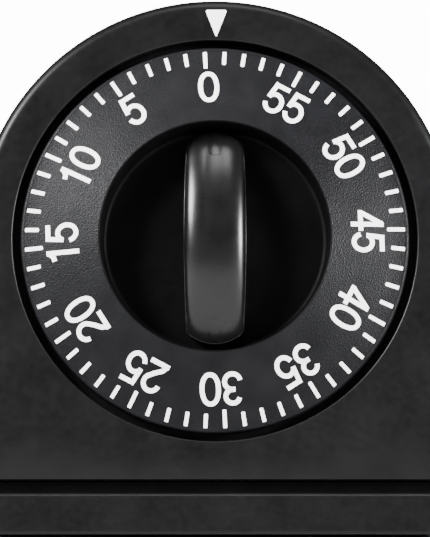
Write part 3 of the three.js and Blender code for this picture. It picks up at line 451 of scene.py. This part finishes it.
def front_case():
    rings = [arch(SEAM)]
    for i in range(ROUND_STEPS + 1):
        angle = math.radians(90 * i / ROUND_STEPS)
        inset = EDGE_RADIUS * (1 - math.cos(angle))
        floor_inset = BOTTOM_ROUND * (1 - math.cos(angle))
        rings.append(arch(EDGE_RADIUS * (1 - math.sin(angle)), inset, floor_inset))
    for i in range(LIP_STEPS + 1):
        angle = math.radians(90 * i / LIP_STEPS)
        radius = OPENING_RADIUS + LIP_ROUND * (1 - math.sin(angle))
        rings.append(matched_circle(radius, LIP_ROUND * (1 - math.cos(angle))))
    rings += [
        matched_circle(OPENING_RADIUS, PAN_FLOOR),
        matched_circle(CENTRE_HOLE, PAN_FLOOR),
        matched_circle(CENTRE_HOLE, PAN_FLOOR + PAN_THICKNESS),
        matched_circle(OPENING_RADIUS + PAN_WALL, PAN_FLOOR + PAN_THICKNESS),
        matched_circle(OPENING_RADIUS + PAN_WALL, WALL),
        arch(WALL, WALL, WALL),
        arch(SEAM, WALL, WALL),
    ]
    return loft("front_case_shell", rings, closed=True)


SLOT_COUNT = 7
SLOT_PITCH = 6.0
SLOT_HEIGHT = 2.2
SLOT_NARROWING = 0.42  # radians of the bell's circle for each slot
BELL_CENTRE = (-4.0, -6.0)
BELL_RADIUS = 20.0
POCKET_RADIUS = 2.8
POCKET_HOLE = (1.4, 5.0)  # radius and depth of the screw's hole under its pocket
COLUMN_SHORT = 0.2  # how far a column ends before the back plane
BEYOND = 40.0  # how far a pocket's tool reaches past the screw's head
POCKET_FACETS = 48


def rear_cover():
    """A cup, open to the front, with sound slots, and a column round each case screw's pocket."""
    start = SEAM + SEAM_GAP
    rings = [rear_arch(WALL, WALL, WALL), arch(start, WALL, WALL), arch(start)]
    for i in range(ROUND_STEPS + 1):
        angle = math.radians(90 * i / ROUND_STEPS)
        inset = REAR_ROUND * (1 - math.cos(angle))
        rings.append(rear_arch(REAR_ROUND * (1 - math.sin(angle)), inset, inset))
    body = loft("rear_cover_shell", rings, caps=True)
    combine(body, merged(screw_columns()), "UNION")
    return combine(body, merged(sound_slots() + screw_pockets()))


def merged(pieces):
    """One object of several separate closed pieces."""
    whole = bmesh.new()
    for piece in pieces:
        whole.from_mesh(piece.data)
        bpy.data.objects.remove(piece)
    mesh = bpy.data.meshes.new("merged")
    whole.to_mesh(mesh)
    whole.free()
    made = bpy.data.objects.new("merged", mesh)
    bpy.context.scene.collection.objects.link(made)
    return made


def case_screw_places():
    """The middle in the face, and the depth of the head's top, of each case screw."""
    places = []
    for number in range(1, 5):
        low, high = leaning_box(f"case_screw_{number}")
        places.append(((low.x + high.x) / 2, (low.z + high.z) / 2, high.y))
    return places


def screw_columns():
    start = SEAM + SEAM_GAP
    radius = POCKET_RADIUS + WALL / 2
    return [
        turn("column", [(radius, start), (radius, rear_y(z + radius) - COLUMN_SHORT)], POCKET_FACETS, (x, z))
        for x, z, _ in case_screw_places()
    ]


def screw_pockets():
    tools = []
    hole, depth = POCKET_HOLE
    for x, z, head in case_screw_places():
        seat = head - SCREW_HEAD_HEIGHT - SEAM_GAP / 2
        profile = [(hole, seat - depth), (hole, seat)]
        profile += [(POCKET_RADIUS, seat), (POCKET_RADIUS, head + BEYOND)]
        tools.append(turn("pocket", profile, POCKET_FACETS, (x, z)))
    return tools


def sound_slots():
    tools = []
    for i in range(SLOT_COUNT):
        place = i - (SLOT_COUNT - 1) / 2
        z = (FACE_ORIGIN / MM).z + BELL_CENTRE[1] + place * SLOT_PITCH
        half = SLOT_HEIGHT / 2
        reach = BELL_RADIUS * math.cos(place * SLOT_NARROWING) - half
        ends = quarter((BELL_CENTRE[0] + reach, z), (half, half), -90, 90)
        ends += quarter((BELL_CENTRE[0] - reach, z), (half, half), 90, 270)
        tools.append(prism("slot", ends, REAR_PLANE - WALL - 2, REAR_PLANE + 2, UPRIGHT))
    return tools


# ---- plinth -----------------------------------------------------------------------------------------------

PLINTH_ROUND = 0.9
PLINTH_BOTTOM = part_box("base")[0].z / MM
PLINTH_TOP = CASE_BOTTOM - SHADOW_GAP
OVERRUN = 1.0  # of the hollow below the plinth, and of the neck into it


def face_at(z):
    """Depth of the leaning face's plane at an upright height."""
    origin = FACE_ORIGIN / MM
    return origin.y + (z - origin.z) * math.tan(LEAN)


def plinth_block(name, inset, bottom, bottom_face, top, top_face):
    """A block with a leaning front, inset at the front, the back and the sides.

    bottom_face and top_face are the heights on the face's plane that its front edges are taken from.
    """
    outline = [
        (face_at(bottom_face) + inset, bottom),
        (REAR_PLANE - inset, bottom),
        (REAR_PLANE - inset, top),
        (face_at(top_face) + inset, top),
    ]
    return prism(name, outline, inset - CASE_RADIUS, CASE_RADIUS - inset, UPRIGHT, "x")


def plinth():
    """The hollow plinth, and the neck that stands on it in the groove."""
    bottom, top = PLINTH_BOTTOM, PLINTH_TOP
    body = plinth_block("base_body", 0.0, bottom, bottom, top, top)
    combine(body, plinth_block("hollow", WALL, bottom - OVERRUN, bottom, top - WALL, top))
    neck_top = CASE_BOTTOM - SEAM_GAP
    neck = plinth_block("base_neck", NECK_DEPTH, top - OVERRUN, top, neck_top, CASE_BOTTOM)
    return bevelled(body, PLINTH_ROUND), neck


# ---- dial -------------------------------------------------------------------------------------------------


def cone_y(radius):
    return -RIM_PROUD - (CONE_EDGE - radius) * CONE_SLOPE


DISH_JOIN = 0.34  # how far outside the dish's edge the ring and the dish meet
DISH_LIP = (0.3, 0.4)  # rounding of the dish's edge, and how far its centre lies behind the edge
DISH_TAPER = 1.6  # how much narrower the back of the dish is at its floor
STEM_HOLE = 4.5
RIM_ROUND = 0.75
RIM_CREST = 0.95  # of the rim's height, where its rounding ends
DIAL_FACETS = 256
CONE_RINGS = (27.0, 29.0, 32.0, 35.0, 38.0)  # radii of the rings along the cone
CONE_END = 0.2  # from the last ring to the edge of the cone


def dial_ring():
    """The printed cone and the rim, closed on themselves."""
    inside = DIAL_RADIUS - DIAL_SHELL
    join = DISH_RADIUS + DISH_JOIN
    profile = [(join, cone_y(join) + DIAL_SHELL), (join, cone_y(join))]
    profile += [(radius, cone_y(radius)) for radius in (*CONE_RINGS, CONE_EDGE - CONE_END)]
    profile += quarter((DIAL_RADIUS - RIM_ROUND, 0.0), (RIM_ROUND, RIM_PROUD * RIM_CREST), -85, 0, 8)
    profile += [(DIAL_RADIUS, RIM_DEPTH), (inside, RIM_DEPTH), (inside, cone_y(inside) + DIAL_SHELL)]
    return turn("dial_shell", profile, DIAL_FACETS, closed=True)


def dial_dish():
    """The dish inside the cone, with a rounded edge."""
    join = DISH_RADIUS + DISH_JOIN
    wall = DISH_RADIUS + DIAL_SHELL
    foot = DISH_RADIUS - DISH_DRAFT - DISH_FILLET
    lip, set_back = DISH_LIP
    profile = [(STEM_HOLE, DISH_FLOOR_Y), (foot, DISH_FLOOR_Y)]
    profile += quarter((foot, DISH_FLOOR_Y - DISH_FILLET), (DISH_FILLET, DISH_FILLET), 90, 0)
    profile += quarter((DISH_RADIUS + lip, DISH_EDGE_Y + set_back), (lip, lip), 180, 275)
    profile += [
        (join, cone_y(join)),
        (join, cone_y(join) + DIAL_SHELL),
        (wall, cone_y(wall) + DIAL_SHELL),
        (wall - DISH_TAPER, DISH_FLOOR_Y + DIAL_SHELL),
        (STEM_HOLE, DISH_FLOOR_Y + DIAL_SHELL),
    ]
    return turn("dial_dish", profile, DIAL_FACETS, closed=True)


# ---- printing ---------------------------------------------------------------------------------------------

MINUTES = 60
ZERO_OFFSET = 3.1  # degrees that the zero mark stands to the left of the pointer
NUMBER_OFFSET = 2.4  # the same for the numbers, which sit a little to the right of their marks
TICK_OUTER = 40.85
TICK_MINUTE = 37.8
TICK_FIVE = 36.95
TICK_WIDTH = 0.84
TICK_ROUND = 0.3
DIGIT_RING = 32.7
DIGIT_HALF_WIDTH = 1.68  # of its centreline
DIGIT_HALF_HEIGHT = 3.02
DIGIT_STROKE = 1.0
DIGIT_ADVANCE = 4.75


def digit_strokes(digit):
    """Centrelines of the strokes of a digit from 0 to 5, as (across, up) points about its middle."""
    w = DIGIT_HALF_WIDTH
    h = DIGIT_HALF_HEIGHT
    half = DIGIT_STROKE / 2
    if digit == "0":
        return [oval(w + 0.07, h)]
    if digit == "1":
        flag = [(-1.25, h - 1.25), (-0.35, h - 1.0), (0.25, h - 0.35), (0.5, h + 0.35)]
        return [[(0.55, -h - half), (0.55, h + half)], flag]
    if digit == "2":
        bend = quarter((0, h - w), (w, w), 178, -32, 20)
        bend += [(0.35, -h + 2.35), (-w + 0.55, -h + 1.15), (-w, -h)]
        return [bend, [(-w - half, -h), (w + half, -h)]]
    if digit == "3":
        upper = quarter((-0.02, h - 1.42), (w - 0.18, 1.42), 168, -90, 20)
        lower = quarter((-0.02, -h + 1.6), (w, 1.6), 90, -170, 22)
        return [upper, lower, [(-0.62, 0.18), (0.1, 0.18)]]
    if digit == "4":
        slope = [(0.72, h + 0.1), (-w - 0.02, -1.32)]
        bar = [(-w - half, -1.42), (w + half + 0.1, -1.42)]
        return [slope, bar, [(0.86, h + half), (0.86, -h - half)]]
    bowl = quarter((-0.04, -h + 1.98), (w + 0.04, 1.98), 146, -166, 26)
    stem = [(-w + 0.62, h + half), (-w + 0.18, -0.28)]
    return [[(-w + 0.4, h), (w + 0.25, h)], stem, bowl]


def oval(width, height, around=44, squareness=0.9):
    """A closed oval whose sides are a little straighter than an ellipse's."""
    points = []
    for i in range(around + 1):
        c = math.cos(2 * math.pi * i / around)
        s = math.sin(2 * math.pi * i / around)
        across = math.copysign(abs(c) ** squareness, c) * width
        points.append((across, math.copysign(abs(s) ** squareness, s) * height))
    return points


def tick(inner, out):
    """Pairs of edge points of a minute mark, whose ends are a little rounded."""
    across = Vector((-out.y, out.x))
    # shares of the rounding's length, and of the width there
    steps = [(0.0, 0.45), (0.15, 0.8), (0.45, 0.96), (1.0, 1.0)]
    ends = [(inner + TICK_ROUND * along, share) for along, share in steps]
    ends += [(TICK_OUTER - TICK_ROUND * along, share) for along, share in reversed(steps)]
    half = TICK_WIDTH / 2
    pairs = []
    for ring, share in ends:
        pairs.append((out * ring + across * half * share, out * ring - across * half * share))
    return pairs


def ribbon(points, width):
    """Pairs of edge points along a centreline."""
    pairs = []
    for i, point in enumerate(points):
        before = Vector(points[max(i - 1, 0)])
        after = Vector(points[min(i + 1, len(points) - 1)])
        along = (after - before).normalized()
        across = Vector((-along.y, along.x)) * width / 2
        middle = Vector(point)
        pairs.append((middle + across, middle - across))
    return pairs


def refined(points, longest=0.5):
    """The same line with no step longer than this, so that it follows the cone."""
    made = [points[0]]
    for start, end in zip(points, points[1:]):
        count = max(1, math.ceil(math.dist(start, end) / longest))
        for i in range(1, count + 1):
            share = i / count
            made.append((start[0] + (end[0] - start[0]) * share, start[1] + (end[1] - start[1]) * share))
    return made


def add_strip(vertices, faces, pairs, surface):
    """Adds a thin closed strip that lies on a surface, given as y from (x, z)."""
    start = len(vertices)
    for left, right in pairs:
        for edge in (left, right):
            y = surface(edge.x, edge.y)
            vertices.append((edge.x, y - PRINT_RAISE, edge.y))
            vertices.append((edge.x, y + PRINT_SINK, edge.y))
    for i in range(len(pairs) - 1):
        a = start + 4 * i
        b = a + 4
        faces += [(a, b, b + 2, a + 2), (a + 1, a + 3, b + 3, b + 1)]
        faces += [(a, a + 1, b + 1, b), (a + 2, b + 2, b + 3, a + 3)]
    end = start + 4 * (len(pairs) - 1)
    faces += [(start, start + 2, start + 3, start + 1), (end, end + 1, end + 3, end + 2)]


def on_cone(x, z):
    return cone_y(math.hypot(x, z))


def minute_angle(minute, offset=ZERO_OFFSET):
    """Direction of a minute mark: numbers rise anticlockwise."""
    return math.radians(90 + offset + minute * 360 / MINUTES)


def placed(points, minute, shift=0.0):
    """Points about a digit's middle, laid on the dial with their top outward."""
    angle = minute_angle(minute, NUMBER_OFFSET)
    out = Vector((math.cos(angle), math.sin(angle)))
    across = Vector((out.y, -out.x))
    return [tuple(out * (DIGIT_RING + up) + across * (side + shift)) for side, up in points]


def dial_print():
    vertices, faces = [], []
    for minute in range(MINUTES):
        angle = minute_angle(minute)
        inner = TICK_MINUTE if minute % 5 else TICK_FIVE
        out = Vector((math.cos(angle), math.sin(angle)))
        add_strip(vertices, faces, tick(inner, out), on_cone)
    for minute in range(0, MINUTES, 5):
        text = str(minute)
        for place, digit in enumerate(text):
            shift = (place - (len(text) - 1) / 2) * DIGIT_ADVANCE
            for stroke in digit_strokes(digit):
                points = placed(refined(stroke), minute, shift)
                add_strip(vertices, faces, ribbon(points, DIGIT_STROKE), on_cone)
    return add_mesh("dial_print", vertices, faces)


POINTER_TOP = 50.05
POINTER_TIP = 44.0
POINTER_MIDDLE = 0.25
POINTER_HALF_WIDTH = 2.37
POINTER_CORNER = 0.35


def pointer():
    left, right = POINTER_MIDDLE - POINTER_HALF_WIDTH, POINTER_MIDDLE + POINTER_HALF_WIDTH
    corners = [(left, POINTER_TOP), (right, POINTER_TOP), (POINTER_MIDDLE, POINTER_TIP)]
    rounded = []
    for i, corner in enumerate(corners):
        here = Vector(corner)
        for other in (corners[i - 1], corners[(i + 1) % 3]):
            rounded.append(tuple(here + (Vector(other) - here).normalized() * POINTER_CORNER))
    return prism("pointer_print", rounded, -PRINT_RAISE, PRINT_SINK, TO_ROW)


# ---- grip -------------------------------------------------------------------------------------------------

GRIP_FOOT_Y = DISH_FLOOR_Y - 0.3
GRIP_LEDGE = 0.34  # width of the fine ledge round its outline
GRIP_SHOULDER = 4.4  # width over which the crown falls to the ledge at each side
GRIP_FALL = 2.2  # how far it falls there
GRIP_CAMBER = 0.25  # how much higher the crown is in the middle of its width
GRIP_SIDE_STEPS = 28
GRIP_CORNER_STEPS = 8
GRIP_END_STEPS = 16
# inset from the outline, and how far below the crown the edge and its groove lie
GRIP_EDGE = [(0.0, 0.15), (0.02, 0.06), (0.07, 0.01), (0.15, 0.0), (0.22, 0.05), (0.3, 0.09), (0.42, 0.03)]
# and the insets of the rings that follow it over the crown
GRIP_INSETS = [0.55, 0.75, 1.0, 1.3, 1.7, 2.2, 2.8, 3.4, 4.0, 4.6, 5.2]


def grip_quarter(inset):
    """A quarter of the outline, from the middle of the right side to that of the upper end."""
    half = GRIP_HALF_WIDTH - inset
    length = GRIP_HALF_LENGTH - inset
    sag = GRIP_END_SAG * (half / GRIP_HALF_WIDTH) ** 2
    corner = GRIP_CORNER * half / GRIP_HALF_WIDTH
    side_end = length - sag - corner
    end_side = half - corner
    end_start = length - sag * (end_side / half) ** 2
    points = []
    for i in range(GRIP_SIDE_STEPS):
        share = i / GRIP_SIDE_STEPS
        points.append((half + GRIP_BULGE * (1 - share**2), share * side_end))
    for i in range(GRIP_CORNER_STEPS):
        t = i / GRIP_CORNER_STEPS
        x = (1 - t**2) * half + t**2 * end_side
        z = (1 - t) ** 2 * side_end + 2 * t * (1 - t) * (length - sag) + t**2 * end_start
        points.append((x, z))
    for i in range(GRIP_END_STEPS):
        x = end_side * (1 - i / GRIP_END_STEPS)
        points.append((x, length - sag * (x / half) ** 2))
    return points + [(0.0, length)]


def grip_outline(inset):
    """The whole outline, the same left and right, and above and below."""
    first = grip_quarter(inset)
    upper = first + [(-x, z) for x, z in reversed(first[:-1])]
    return upper + [(-x, -z) for x, z in upper[1:-1]]


def grip_crown(x, z):
    """Depth of the crown: an arc along the grip, falling to a ledge at each side."""
    arc = GRIP_CROWN_RADIUS - math.sqrt(GRIP_CROWN_RADIUS**2 - z**2)
    half = GRIP_HALF_WIDTH + GRIP_BULGE * max(0.0, 1 - (z / (GRIP_HALF_LENGTH - GRIP_END_SAG)) ** 2)
    inward = half - abs(x) - GRIP_LEDGE
    if inward <= 0:
        return GRIP_CROWN_Y + arc + GRIP_FALL
    if inward < GRIP_SHOULDER:
        share = 1 - inward / GRIP_SHOULDER
        return GRIP_CROWN_Y + arc + GRIP_FALL - (GRIP_FALL - GRIP_CAMBER) * math.sqrt(1 - share**2)
    share = abs(x) / (half - GRIP_LEDGE - GRIP_SHOULDER)
    return GRIP_CROWN_Y + arc + GRIP_CAMBER * share**2


def grip_bar():
    rings = [[(x, GRIP_FOOT_Y, z) for x, z in grip_outline(0.0)]]
    for inset, below in GRIP_EDGE + [(inset, 0.0) for inset in GRIP_INSETS]:
        rings.append([(x, grip_crown(x, z) + below, z) for x, z in grip_outline(inset)])
    return loft("grip_body", rings, caps=True, sharp=60, across=True)


# ---- small pieces -----------------------------------------------------------------------------------------


SMALL_ROUND = 0.4  # of the feet and of the screw heads
SMALL_FACETS = 64


def foot(number):
    low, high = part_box(f"foot_{number}")
    middle = (low + high) / 2 / MM
    radius = (high.x - low.x) / 2 / MM
    matrix = UPRIGHT @ Matrix.Translation((middle.x, middle.y, 0)) @ Matrix.Rotation(math.pi / 2, 4, "X")
    base, top = low.z / MM, high.z / MM
    inner = radius - SMALL_ROUND
    profile = [(inner, base)]
    profile += quarter((inner, base + SMALL_ROUND), (SMALL_ROUND, SMALL_ROUND), -90, 0)
    profile += [(radius, top)]
    return turn(f"foot_pad_{number}", profile, SMALL_FACETS, matrix=matrix)


def case_screw(number):
    low, high = leaning_box(f"case_screw_{number}")
    middle = (low + high) / 2
    radius = (high.x - low.x) / 2
    at = (middle.x, middle.z)
    head = high.y
    under = head - SCREW_HEAD_HEIGHT
    profile = [(SCREW_SHANK, low.y), (SCREW_SHANK, under), (radius, under)]
    profile += quarter((radius - SMALL_ROUND, head - SMALL_ROUND), (SMALL_ROUND, SMALL_ROUND), 0, 90)
    made = turn(f"case_screw_body_{number}", profile, SMALL_FACETS, at)
    width, depth = SCREW_SLOT
    reach, half = 9, width / 2
    outline = [(-reach, -half), (reach, -half), (reach, half), (-reach, half)]
    outline = [(x + at[0], z + at[1]) for x, z in outline]
    return combine(made, prism("slot", outline, head - depth, head + 1, TO_ROW))


# ---- the object -------------------------------------------------------------------------------------------


def build_object():
    finish_piece(front_case(), "case_plastic", "case", "front_case")
    finish_piece(rear_cover(), "case_plastic", "case", "rear_cover")
    body, neck = plinth()
    finish_piece(body, "case_plastic", "case", "base")
    # The neck is painted near-black as shade in the groove; its own plastic is the case's.
    finish_piece(neck, "case_plastic", "case", material="dish_plastic")
    finish_piece(dial_ring(), "dial_plastic", "dial", "dial")
    # The dish is painted near-black as shade; its own plastic is the dial's.
    finish_piece(dial_dish(), "dial_plastic", "dial", material="dish_plastic")
    finish_piece(dial_print(), "print_white", "dial")
    finish_piece(pointer(), "print_white", "case")
    finish_piece(grip_bar(), "grip_plastic", "dial", "grip_bar")
    for number in range(1, 5):
        finish_piece(foot(number), "rubber", "case", f"foot_{number}")
        finish_piece(case_screw(number), "steel", "case", f"case_screw_{number}")
    for entry in frame["record"]["subparts"]:
        node = frame["nodes"][entry["node"]]
        if not node.hide_render:
            dress_node(node, entry["material_slot"])


def dress_node(node, slot):
    """A CAD node that stays: a better material, softened edges and smooth round faces."""
    node.data.materials.clear()
    node.data.materials.append(MATERIALS[slot])
    smooth(node, 40.0)
    bevelled(node, 0.08, 2)


# ---- studio -----------------------------------------------------------------------------------------------

FRAME_HEIGHT = 115.1865 * MM  # seen by the camera at the face
SENSOR = 36
CAMERA_DISTANCE = 2.0
AIM = Vector((0.0, FACE_ORIGIN.y, 0.0576))
BACKDROP = 14.0  # strength of the white seen behind the timer
SURROUNDINGS = 0.10  # strength of what the timer reflects
FLOOR_REACH = 3


def studio():
    camera = bpy.data.cameras.new("camera")
    camera.sensor_width = SENSOR
    camera.lens = SENSOR * CAMERA_DISTANCE / FRAME_HEIGHT
    holder = bpy.data.objects.new("camera", camera)
    holder.location = AIM - Vector((0, CAMERA_DISTANCE, 0))
    holder.rotation_euler = (math.pi / 2, 0, 0)
    bpy.context.scene.collection.objects.link(holder)
    bpy.context.scene.camera = holder

    corners = [(x * FLOOR_REACH, y * FLOOR_REACH, 0) for x, y in ((-1, -1), (1, -1), (1, 1), (-1, 1))]
    floor = add_mesh("floor", corners, [(0, 1, 2, 3)], Matrix())
    pale = Shader("studio_floor", Roughness=0.8, Specular_IOR_Level=0.2)
    pale.colours(pale.noise(400.0), (0.62, 0.62, 0.62), (0.66, 0.66, 0.66))
    floor.data.materials.append(pale.material)

    backdrop()
    area_light("softbox_left", (-0.76, -0.46, 0.60), 0.36, 48)
    area_light("softbox_right", (0.86, -0.44, 0.26), 0.26, 36)
    area_light("softbox_top", (0.05, -0.30, 0.95), 0.40, 6)


def backdrop():
    """White where the camera sees it, and dim for what the timer reflects."""
    world = bpy.data.worlds.new("studio")
    bpy.context.scene.world = world
    world.use_nodes = True
    tree = world.node_tree
    seen = tree.nodes.new("ShaderNodeLightPath").outputs["Is Camera Ray"]
    strength = tree.nodes.new("ShaderNodeMapRange")
    strength.inputs["To Min"].default_value = SURROUNDINGS
    strength.inputs["To Max"].default_value = BACKDROP
    tree.links.new(seen, strength.inputs["Value"])
    background = tree.nodes["Background"]
    background.inputs["Color"].default_value = (1, 1, 1, 1)
    tree.links.new(strength.outputs["Result"], background.inputs["Strength"])


def area_light(name, place, size, power):
    """A square light that faces the middle of the timer."""
    light = bpy.data.lights.new(name, "AREA")
    light.size = size
    light.energy = power
    holder = bpy.data.objects.new(name, light)
    holder.location = place
    target = Vector((0, 0, 0.06))
    holder.rotation_euler = (target - Vector(place)).to_track_quat("-Z", "Y").to_euler()
    bpy.context.scene.collection.objects.link(holder)


studio()
build_object()
